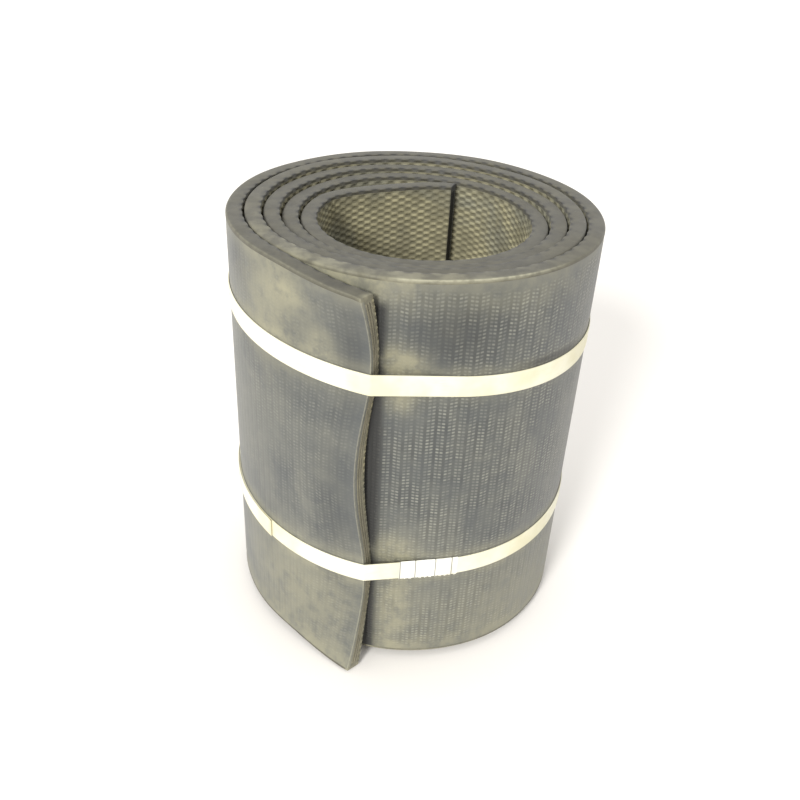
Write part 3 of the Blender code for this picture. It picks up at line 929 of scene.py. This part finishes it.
def make_cover():
    """The slab's runs and heights, and the marks at each of its points."""
    top = BELT_WIDTH - RIM_LIP
    shown_rows = np.concatenate([[RIM_LIP], np.arange(4.0, BELT_WIDTH - 3.0, 2.2), [top]])
    plain_rows, back_rows = np.linspace(RIM_LIP, top, 12), np.linspace(RIM_LIP, top, 24)
    column = PRINT_PAIR / 4.0
    shown = np.concatenate([[0.0, 0.35, 0.8], np.arange(column, SHOWN_RUN, column)])
    hidden = np.linspace(shown[-1], STRIP_LENGTH, 420)
    lengths = [slab(shown, shown_rows, cover_relief, back_rows, DEPTH_SEAMS[0] - SEAM),
               slab(hidden, plain_rows, cover_relief, plain_rows, DEPTH_SEAMS[0] - SEAM)]
    points, faces, uv, depth = join_lengths(lengths)
    run, height = uv.T
    marks = {"print": cover_print(run, height), "dust": cover_dust(run, height),
             "painted_shade_and_bare_rubber": cover_shade_and_bare_rubber(run, height), "wear_and_highlight": cover_cut_highlight(run, depth)}
    return write_mesh("rubber_cover", points, faces, uv, marks)


stand_for(make_cover(), "outer_cover", "belting", COVER)

# %% [markdown]
# ## The moulded rims
# Edge rubber seals the plies, and its moulded rim is all that shows of the wound turns from
# above. The rim is a small profile carried along the whole strip: round at the outer corner,
# nearly flat on top, and scalloped at the inner corner, where the coarse weave runs into it.

# %% Rim profile and marks
OUTER_ROUND, INNER_ROUND = 1.2, 0.7


def rim_profile():
    """Points (rise above the rim's seam with the cover, depth), and how much of the weave's
    relief each one takes. Quarter circles round the two corners."""
    quarter = np.linspace(0.0, math.pi / 2.0, 6)
    outer = np.stack([RIM_LIP - OUTER_ROUND * (1.0 - np.sin(quarter)),
                      OUTER_ROUND * (1.0 - np.cos(quarter))], axis=-1)
    crown = RIM_LIP + 0.12 * np.sin(np.linspace(0.2, 0.9, 5) * math.pi)
    top = np.stack([crown, [2.6, 4.6, 6.3, 7.4, 8.1]], axis=-1)
    inner = np.stack([RIM_LIP - INNER_ROUND * (1.0 - np.cos(quarter)),
                      BELT_THICKNESS - INNER_ROUND * (1.0 - np.sin(quarter))], axis=-1)
    foot = EDGE_RUBBER_WIDTH - RIM_LIP
    near, far = DEPTH_SEAMS
    tongue = np.array([[0.0, far], [-foot, far - SEAM], [-foot, near + SEAM], [0.0, near]])
    points = np.concatenate([[[0.0, 0.0]], outer, top, inner, [[0.0, BELT_THICKNESS]], tongue])
    relief = np.zeros(len(points))
    relief[11:19] = [0.1, 0.3, 0.5, 0.7, 0.85, 0.95, 1.0, 1.0]
    return points, relief


print("points of the rim's profile:", len(rim_profile()[0]))


def rim_marks(run, winding, rise, depth, knuckle):
    """Wear on the outer corner, with a painted highlight on it at the front and on the cut,
    dust where the turns open, and painted shade in the valleys of the scallops."""
    # Painted highlight on the front of the outer corner and on the cut's corner; elsewhere the corner has a
    # little wear.
    front = fraction((winding - 300.0) / 20.0) * fraction((358.0 - winding) / 3.0)
    corner = hump(depth, 0.5, 0.35) * (rise > 0.0) * (winding < 380.0)
    wear_and_highlight = corner * (0.10 + 0.9 * front + 0.15 * hump(winding, 40.0, 40.0))
    wear_and_highlight = np.maximum(wear_and_highlight, 0.5 * fraction(1.0 - run / 0.6) * (depth < 0.6))
    dust = (0.12 + 0.9 * fraction(1.0 - run / 2.5) + 0.5 * hump(winding, 385.0, 25.0)
            + 0.25 * hump(winding, 340.0, 22.0) * (winding < 360.0))
    inner = fraction((depth - 6.9) / 1.2) * (rise > 0.0)
    # Painted shade in the valleys of the scallops.
    pit_shade = inner * fraction(1.15 - 1.7 * knuckle)
    painted_shade_and_bare_rubber = np.maximum(0.8 * pit_shade, tail_painted_shade(run))
    return {"wear_and_highlight": fraction(wear_and_highlight).ravel(), "dust": fraction(dust).ravel(),
            "painted_shade_and_bare_rubber": painted_shade_and_bare_rubber.ravel()}


# %% Rim mesh
def make_rim(name, upper):
    """The profile at each third of a knuckle column, its inner corner cut back by the weave."""
    profile, relief = rim_profile()
    third = KNUCKLE_RUN / 3.0
    runs = np.concatenate([[0.0, 0.4], np.arange(third, STRIP_LENGTH, third), [STRIP_LENGTH]])
    run, rise = np.meshgrid(runs, profile[:, 0], indexing="ij")
    height = BELT_WIDTH - RIM_LIP + rise if upper else RIM_LIP - rise
    knuckle = weave_height(run, height)
    points = strip_points(run, height, profile[:, 1] - WEAVE_DEPTH * (1.0 - knuckle) * relief)
    uv = np.stack([run.ravel(), height.ravel()], axis=-1)
    marks = rim_marks(run, winding_at(run), rise, profile[:, 1], knuckle)
    return write_mesh(name, points.reshape(-1, 3), tube(points), uv, marks, 35.0)


for upper, end in ((True, "upper"), (False, "lower")):
    stand_for(make_rim(f"edge_rim_{end}", upper), f"edge_rubber_{end}", "belting", RIM)

# %% [markdown]
# ## Plies and skim rubber
# Three plies of cloth carry the load, with thin skim rubber between them. They show only at
# the two cut ends, as pale lines in the rubber, but they are whole layers all the same. At
# the ends the cloth stands out by a hair and the rubber between is drawn back.

# %% The five inner layers
def make_layer(name, top, bottom, proud):
    """A plain slab between two depths, whose ends stand out by a hair if it is cloth."""
    rows = np.linspace(EDGE_RUBBER_WIDTH + SEAM, BELT_WIDTH - EDGE_RUBBER_WIDTH - SEAM, 30)
    ends = np.array([-proud, 0.5, 1.5, 3.0])
    inner_ends = STRIP_LENGTH - ends[::-1] * np.sign(proud)
    runs = np.concatenate([ends, np.arange(6.0, STRIP_LENGTH - 6.0, 6.0), inner_ends])
    runs = np.unique(np.clip(runs, -abs(proud), STRIP_LENGTH))
    body = slab(runs, rows, lambda run, height: np.full(run.shape, top + SEAM), rows, bottom - SEAM)
    points, faces, uv, _ = join_lengths([body])
    return write_mesh(name, points, faces, uv, {"painted_shade_and_bare_rubber": tail_painted_shade(uv[:, 0])})


LAYER_KINDS = (("cloth_ply", "fabric_ply", PLY_THICKNESS, 0.12, "ply_fabric", PLY),
               ("skim_layer", "skim_rubber", SKIM_THICKNESS, -0.15, "skim_rubber", SKIM))
depth = DEPTH_SEAMS[0]
for place in range(2 * PLY_COUNT - 1):
    piece, solid, thickness, proud, slot, finish = LAYER_KINDS[place % 2]
    number, below = place // 2 + 1, depth + thickness + BOND_GAP
    layer = make_layer(f"{piece}_{number}", depth, below, proud)
    stand_for(layer, f"{solid}_{number}", "belting", finish)
    depth = below

# %% [markdown]
# ## The woven inner face
# Inside the eye the weave is the whole view, so its knuckles are real relief there, three
# points to a column and four to a knuckle, in step with the lattice. Between the turns only
# the rims' scallops show, so that length is fine at its edges and plain in the middle. The
# free end is fine again, because its cut shows the knuckles as teeth.

# %% Relief of the woven face
EYE_FROM = np.round(run_at(1150.0) / KNUCKLE_RUN) * KNUCKLE_RUN
FLAP_TO = 10.0 * KNUCKLE_RUN


def woven_depth(run, height):
    """The weave's relief. The cut goes between two columns of knuckles, so that for its
    first 5 mm both show, as teeth at half the pitch."""
    teeth = 0.5 + 0.5 * np.cos(4.0 * math.pi * (height - RIM_LIP) / KNUCKLE_RISE)
    at_cut = fraction(1.0 - run / 5.0)
    share = weave_height(run, height) * (1.0 - at_cut) + (0.25 + 0.75 * teeth) * at_cut
    return BELT_THICKNESS - WEAVE_DEPTH * (1.0 - share)


def edge_woven_depth(run, height):
    """The relief dies out 8 mm from an edge, where the mesh is too plain to carry it."""
    inside = np.minimum(height, BELT_WIDTH - height)
    share = fraction((8.0 - inside) / 3.0)
    return BELT_THICKNESS - WEAVE_DEPTH * (0.5 + share * (0.5 - weave_height(run, height)))


def woven_runs(start, end):
    """Three columns of points to a column of knuckles, and one at the very end."""
    steps = np.arange(start, end, KNUCKLE_RUN / 3.0)
    return np.concatenate([steps[end - steps > 0.2], [end]])


print("eye's weave starts at, mm:", round(EYE_FROM, 1))

# %% Woven face in three lengths
top, row_step = BELT_WIDTH - RIM_LIP, KNUCKLE_RISE / 4.0
fine_rows = np.concatenate([np.arange(RIM_LIP, top - 0.3, row_step), [top]])
edge_rows = np.arange(RIM_LIP, 8.3, row_step)
plain_rows = np.linspace(14.0, BELT_WIDTH - 14.0, 14)
wound_rows = np.concatenate([edge_rows, plain_rows, BELT_WIDTH - edge_rows[::-1]])
back_rows = np.linspace(RIM_LIP, top, 14)
back = DEPTH_SEAMS[1] + SEAM

lengths = {
    "woven_face_wound": [slab(woven_runs(0.0, FLAP_TO), fine_rows, woven_depth, back_rows, back),
                         slab(woven_runs(FLAP_TO, EYE_FROM), wound_rows, edge_woven_depth, back_rows, back)],
    "woven_face_eye": [slab(woven_runs(EYE_FROM, STRIP_LENGTH), fine_rows, woven_depth, back_rows, back)],
}
for name, bodies in lengths.items():
    points, faces, uv, _ = join_lengths(bodies)
    from_edge = np.minimum(uv[:, 1], BELT_WIDTH - uv[:, 1])
    near_rim = fraction(1.0 - (from_edge - 2.0) / 4.0)
    marks = {"print": 1.0 - 0.5 * near_rim, "dust": 0.08 + 0.3 * near_rim, "painted_shade_and_bare_rubber": tail_painted_shade(uv[:, 0])}
    face = write_mesh(name, points, faces, uv, marks, 60.0)
    stand_for(face, "inner_woven_face", "belting", WEAVE)

# %% [markdown]
# ## The path of a taut strap
# A strap under tension takes the shortest way round: it lies on the roll where that bulges,
# and runs straight where it doesn't, as it does beside the free end's corner. That way is the
# convex outline of the turn. Strap and tape lie at small distances outside it, so the outline
# is spread by walking an arc round each of its points.

# %% Convex outline and its offset
STRAP_CLEARANCE = 0.12


def convex_outline(points):
    """Blender's own hull of flat points, from its leftmost point on."""
    corners = points[convex_hull_2d(points.tolist())]
    return np.roll(corners, -np.argmin(corners[:, 0]), axis=0)


taut = convex_outline(outer_curve(np.arange(0.0, 420.0, 0.75)))


def spread_outline(distance, spacing=0.5):
    """The outline at a distance, as points at even spacing and their outward normals. Each
    corner becomes an arc that turns from one side's normal to the next one's."""
    side = unit(np.roll(taut, -1, axis=0) - taut)
    after = np.stack([side[:, 1], -side[:, 0]], axis=-1)
    before = np.roll(after, 1, axis=0)
    share = np.linspace(0.0, 1.0, 9)[None, :, None]
    normals = unit(before[:, None] * (1.0 - share) + after[:, None] * share)
    path = (taut[:, None] + normals * distance).reshape(-1, 2)
    path = np.concatenate([path, path[:1]])
    along = np.concatenate([[0.0], np.cumsum(np.linalg.norm(np.diff(path, axis=0), axis=1))])
    even = np.linspace(0.0, along[-1], int(along[-1] / spacing), endpoint=False)
    places = np.stack([np.interp(even, along, path[:, axis]) for axis in (0, 1)], axis=-1)
    step = unit(np.roll(places, -1, axis=0) - np.roll(places, 1, axis=0))
    return places, np.stack([step[:, 1], -step[:, 0]], axis=-1), along[-1]


def path_angles(places):
    """Degrees round the roll's axis, from -180 to 180."""
    return np.degrees(np.arctan2(places[:, 1], places[:, 0]))


STRAP_PATH, STRAP_NORMALS, STRAP_LOOP = spread_outline(STRAP_CLEARANCE + STRAP_THICKNESS / 2.0)
print("strap loop, mm:", round(STRAP_LOOP, 1))

# %% [markdown]
# ## The straps
# Packing strap is embossed polypropylene. A machine or a hand tool welds its ends where they
# lap. So a strap is one band, a little longer than the loop: it starts under the lap, goes
# once round, climbs over its own start and ends on top. The cross-section has round edges, and
# the embossing is a fine diamond relief in the mesh.

# %% Strap finish
STRAP_CREAM, STRAP_STAIN, STRAP_GRIME = (0.78, 0.755, 0.60), (0.68, 0.64, 0.44), (0.52, 0.48, 0.33)


def strap_finish(name):
    """Cream plastic with broad stains, streaks drawn out along the band, and grimy edges."""
    made, tree, shader, place, flat = new_finish(name)
    broad = noise(tree, place, 22.0, 4.0, 0.6)
    stretched = node(tree, "Mapping", {"Vector": flat, "Scale": (0.09, 0.9, 1.0)}).outputs[0]
    streaks = noise(tree, stretched, 1.0, 5.0, 0.6)
    colour = blend(tree, ramp(tree, broad, 0.42, 0.68), STRAP_CREAM, STRAP_STAIN)
    colour = blend(tree, ramp(tree, streaks, 0.52, 0.75, 0.0, 0.5), colour, STRAP_STAIN)
    grimy = blend(tree, product(tree, mark(tree, "dust"), 0.8), colour, STRAP_GRIME)
    finish_with(tree, shader, grimy, ramp(tree, streaks, 0.3, 0.7, 0.38, 0.55), streaks, 0.00003)
    shader.inputs["Specular IOR Level"].default_value = 0.45
    return made


STRAP = strap_finish("strap_plastic")
print("strap nodes:", len(STRAP.node_tree.nodes))

# %% [markdown]
# ## The band of a strap
# One ring of points is the band's section, and its columns follow the taut path. A curve with
# a bevel profile would do the same, but it can't emboss the band, lift it over its own start
# or press it flat at the weld.

# %% Strap bands
EMBOSS_PITCH, EMBOSS_DEPTH = 1.9, 0.05
WELD_AT, WELD_SPREAD, WELD_PITCH, WELD_DEPTH = 22.0, 7.0, 1.1, 0.06
CLIMB, LAP_GAP = 5.0, 0.03
END_LIFT, END_LENGTH, GRIMY_LENGTH = 0.35, 6.0, 3.0
EDGE_ROUND = 0.35


def band_profile(width, across_count=17):
    """Ring round a band's section: across the outside, round one edge, back across the
    inside and round the other. Returns place across, side (+1 outside) and edge drop."""
    half = width / 2.0
    across = np.linspace(-1.0, 1.0, across_count)
    edge = fraction((np.abs(across) * half - half + EDGE_ROUND) / EDGE_ROUND)
    drop = 1.0 - np.sqrt(1.0 - 0.75 * edge ** 2)
    outside = np.stack([across * half, np.ones(across_count), drop], axis=-1)
    inside = np.stack([across[::-1] * half, -np.ones(across_count), drop[::-1]], axis=-1)
    return np.concatenate([outside, inside])


def make_strap(name, strap):
    """The band in mm: distance from the outline is half a thickness on the first lap and one
    and a half on the second, with a smooth climb between; height leans with the angle."""
    angles = path_angles(STRAP_PATH)
    turned = [(angles - lap_deg + 180.0) % TURN - 180.0 for lap_deg in strap["lap_deg"]]
    first, last = (int(np.argmin(np.abs(each))) for each in turned)
    count = len(STRAP_PATH)
    places = first + np.arange(count + (last - first) % count + 1)
    travelled = (places - first) * STRAP_LOOP / count
    to_go = travelled[-1] - travelled
    climb = fraction((travelled - STRAP_LOOP + CLIMB) / CLIMB)
    lift = (STRAP_THICKNESS + LAP_GAP) * climb ** 2 * (3.0 - 2.0 * climb)
    lift = lift + END_LIFT * fraction(1.0 - to_go / END_LENGTH) ** 2
    weld = hump(travelled, STRAP_LOOP + WELD_AT, WELD_SPREAD) + hump(travelled, WELD_AT, WELD_SPREAD)
    profile = band_profile(STRAP_WIDTH)
    along, across = np.meshgrid(travelled, profile[:, 0], indexing="ij")
    turns = 2.0 * math.pi / EMBOSS_PITCH
    diamond = np.cos(turns * (along + across)) * np.cos(turns * (along - across))
    inset = EMBOSS_DEPTH * (0.5 - 0.5 * diamond) * (1.0 - 0.8 * weld[:, None])
    inset = inset + WELD_DEPTH * weld[:, None] * (1.0 + np.sin(2.0 * math.pi * along / WELD_PITCH))
    half = STRAP_THICKNESS / 2.0 * (1.0 - profile[:, 2])
    offset = profile[:, 1] * (half - inset * (profile[:, 2] < 0.1)) + lift[:, None]
    index = places % count
    plan = STRAP_PATH[index][:, None] + STRAP_NORMALS[index][:, None] * offset[..., None] + AXIS
    level = strap_height(strap, angles[index])[:, None] + across
    points = np.concatenate([plan, level[..., None]], axis=-1)
    uv = np.stack([along.ravel(), across.ravel()], axis=-1)
    ends = sum(fraction(1.0 - away / GRIMY_LENGTH) for away in (travelled, to_go))
    dust = fraction(0.12 + 0.5 * ends[:, None] + 0.5 * profile[:, 2])
    return write_mesh(name, points.reshape(-1, 3), tube(points), uv, {"dust": dust.ravel()}, 50.0)


for name, strap in (("upper", UPPER_STRAP), ("lower", LOWER_STRAP)):
    band = make_strap(f"{name}_strap_band", strap)
    stand_for(band, f"{name}_strap", f"{name}_strap_band", STRAP)

# %% [markdown]
# ## The tape on the lower strap
# A short label-like strip of white film is folded over the strap. It carries no print here,
# only its creases: four upright folds, and a torn lower hem. It is a thin open section
# carried along the strap, whose lower hem is as long as the tear leaves it.

# %% Tape
TAPE_DEG = (-90.6, -71.2)
TAPE_THICKNESS, TAPE_STEP = 0.12, 0.2
CREASES_DEG = (-90.3, -85.4, -78.8, -73.3)
TAPE_WHITE, TAPE_STAIN, CREASE_SHADE_GREY = (0.84, 0.83, 0.76), (0.74, 0.71, 0.58), (0.16, 0.15, 0.12)


def tape_finish():
    """White film with soft stains, and painted shade in the creases."""
    made, tree, shader, place, _ = new_finish("tape_film")
    soft = noise(tree, place, 70.0, 4.0, 0.6)
    colour = blend(tree, ramp(tree, soft, 0.4, 0.7), TAPE_WHITE, TAPE_STAIN)
    # Painted shade in the creases.
    creased = blend(tree, mark(tree, "crease_shade"), colour, CREASE_SHADE_GREY)
    finish_with(tree, shader, creased, ramp(tree, soft, 0.3, 0.7, 0.3, 0.45), soft, 0.00004)
    return made


def make_tape():
    """Columns along the strap, and a section that goes over its outside and round both its
    edges; each crease is a sharp ridge, a bell curve 0.2 mm wide."""
    reach = STRAP_CLEARANCE + STRAP_THICKNESS + TAPE_THICKNESS
    path, normals, _ = spread_outline(reach, TAPE_STEP)
    angles = path_angles(path)
    kept = np.flatnonzero((angles >= TAPE_DEG[0]) & (angles <= TAPE_DEG[1]))
    kept = kept[np.argsort(angles[kept])]
    here = angles[kept]
    along = np.arange(len(kept)) * TAPE_STEP
    ridge = sum(hump(here, place, 0.13) for place in CREASES_DEG)
    half = STRAP_WIDTH / 2.0 + 0.25
    tear = 0.35 * np.sin(along * 2.1) + 0.25 * np.sin(along * 5.3 + 1.0) + 0.15 * np.sin(along * 11.0)
    tear = tear * fraction((here + 90.0) / 3.0)
    across = np.linspace(-1.0, 1.0, 25)
    low, high = -half - 0.7 - tear, np.full(len(kept), half + 0.2)
    level = low[:, None] + (high - low)[:, None] * (across + 1.0) / 2.0
    beyond = fraction((np.abs(level) - half + 0.3) / 0.6)
    sink = (STRAP_THICKNESS - 0.1) * beyond ** 2
    outside = 0.04 * np.sin(along[:, None] * 0.9 + level * 0.5) + 0.22 * ridge[:, None] - sink
    sides = np.concatenate([outside, outside[:, ::-1] - TAPE_THICKNESS], axis=1)
    levels = np.concatenate([level, level[:, ::-1]], axis=1)
    plan = path[kept][:, None] + normals[kept][:, None] * sides[..., None] + AXIS
    height = strap_height(LOWER_STRAP, here)[:, None] + levels
    points = np.concatenate([plan, height[..., None]], axis=-1)
    uv = np.stack([np.broadcast_to(along[:, None], levels.shape).ravel(), levels.ravel()], axis=-1)
    # The same ridges, as painted shade along the creases.
    crease_shade = fraction(np.broadcast_to(ridge[:, None], levels.shape))
    faces = tube(points, len(across))
    return write_mesh("creased_tape", points.reshape(-1, 3), faces, uv, {"crease_shade": crease_shade.ravel()}, 50.0)


stand_for(make_tape(), "strap_tape", "lower_strap_band", tape_finish())

# %% [markdown]
# ## Floor
# The roll stands on a plain pale floor: one large square, half a millimetre below it, so that
# the two never share a plane. It isn't part of the object.

# %% Floor
FLOOR_SIDE, FLOOR_GAP = 4.0, 0.0005
FLOOR_PAINT = (0.86, 0.83, 0.785, 1.0)


def make_floor():
    """Four corners and one face, painted."""
    side = FLOOR_SIDE
    corners = [(-side, -side, 0.0), (side, -side, 0.0), (side, side, 0.0), (-side, side, 0.0)]
    mesh = bpy.data.meshes.new("floor")
    mesh.from_pydata(corners, [], [(0, 1, 2, 3)])
    floor = bpy.data.objects.new("floor", mesh)
    floor.location.z = cad_low.z - FLOOR_GAP
    bpy.context.scene.collection.objects.link(floor)
    paint = bpy.data.materials.new("floor")
    paint.use_nodes = True
    shader = paint.node_tree.nodes["Principled BSDF"]
    shader.inputs["Base Color"].default_value = FLOOR_PAINT
    shader.inputs["Roughness"].default_value = 0.7
    mesh.materials.append(paint)
    return floor


print("floor at, mm:", round(make_floor().location.z / METRES, 2))

# %% [markdown]
# ## Light
# A low soft sun from the front left gives the straps their glare and throws a faint shadow
# behind and to the right. A lamp overhead looks into the eye, and a white sky fills the rest.
# A sun rather than a near lamp keeps the floor evenly white out to its edges.

# %% Light
SUN_AZIMUTH_DEG, SUN_ELEVATION_DEG, SUN_SOFTNESS_DEG, SUN_STRENGTH = -116.0, 29.0, 14.0, 3.0
LAMP_PLACE, LAMP_TARGET, LAMP_SIZE, LAMP_POWER = (0.0, 0.2, 1.6), (0.0, 0.0, 0.13), 1.0, 4.0
SKY_STRENGTH = 0.95


def add_light(name, kind, energy, turn):
    """A light of any kind in the scene, turned from looking straight down."""
    data = bpy.data.lights.new(name, kind)
    data.energy = energy
    light = bpy.data.objects.new(name, data)
    light.rotation_euler = turn
    bpy.context.scene.collection.objects.link(light)
    return light, data


def make_sun():
    """Even light from far off, whose angular width makes the shadow's border soft."""
    turn = (math.radians(90.0 - SUN_ELEVATION_DEG), 0.0, math.radians(SUN_AZIMUTH_DEG + 90.0))
    _, data = add_light("key", "SUN", SUN_STRENGTH, turn)
    data.angle = math.radians(SUN_SOFTNESS_DEG)


def make_lamp():
    """A disc that faces its target: tipped by its angle from upright, then turned to it."""
    away = np.array(LAMP_PLACE) - np.array(LAMP_TARGET)
    turn = (math.atan2(math.hypot(away[0], away[1]), away[2]), 0.0, math.atan2(away[0], -away[1]))
    lamp, data = add_light("overhead", "AREA", LAMP_POWER, turn)
    lamp.location = LAMP_PLACE
    data.shape, data.size = "DISK", LAMP_SIZE


make_sun()
make_lamp()
sky = bpy.data.worlds.new("sky")
sky.use_nodes = True
sky.node_tree.nodes["Background"].inputs["Color"].default_value = (1.0, 1.0, 1.0, 1.0)
sky.node_tree.nodes["Background"].inputs["Strength"].default_value = SKY_STRENGTH
bpy.context.scene.world = sky
bpy.context.scene.view_settings.view_transform = "Standard"
print("lights:", [light.name for light in bpy.data.lights])

# %% [markdown]
# ## Camera
# The camera looks down at 32 degrees and is rolled by 3. Its turn is written as three axes,
# across, up and away, because a roll is one line there and a puzzle in Euler angles.

# %% Camera
ELEVATION, ROLL = math.radians(32.22), 0.0552
DISTANCE = 562.1
LENS, SENSOR = 39.16, 36.0
AIM_LEFT, AIM_HEIGHT = 5.9, OUTER_LIFT + 119.86


def make_camera():
    """Aim at a point near the roll's axis from the front and above, and roll the view."""
    target = np.array([AXIS[0] - AIM_LEFT, AXIS[1], AIM_HEIGHT])
    away = np.array([0.0, -math.cos(ELEVATION), math.sin(ELEVATION)])
    right = np.array([1.0, 0.0, 0.0])
    up = np.cross(away, right)
    data = bpy.data.cameras.new("camera")
    data.lens, data.sensor_width = LENS, SENSOR
    data.clip_start = 0.01
    camera = bpy.data.objects.new("camera", data)
    bpy.context.scene.collection.objects.link(camera)
    rows = np.eye(4)
    rows[:3, 0] = math.cos(ROLL) * right + math.sin(ROLL) * up
    rows[:3, 1] = math.cos(ROLL) * up - math.sin(ROLL) * right
    rows[:3, 2] = away
    rows[:3, 3] = (target + away * DISTANCE) * METRES
    camera.matrix_world = Matrix(rows.tolist())
    bpy.context.scene.camera = camera
    return camera


print("camera at, m:", [round(value, 3) for value in make_camera().location])
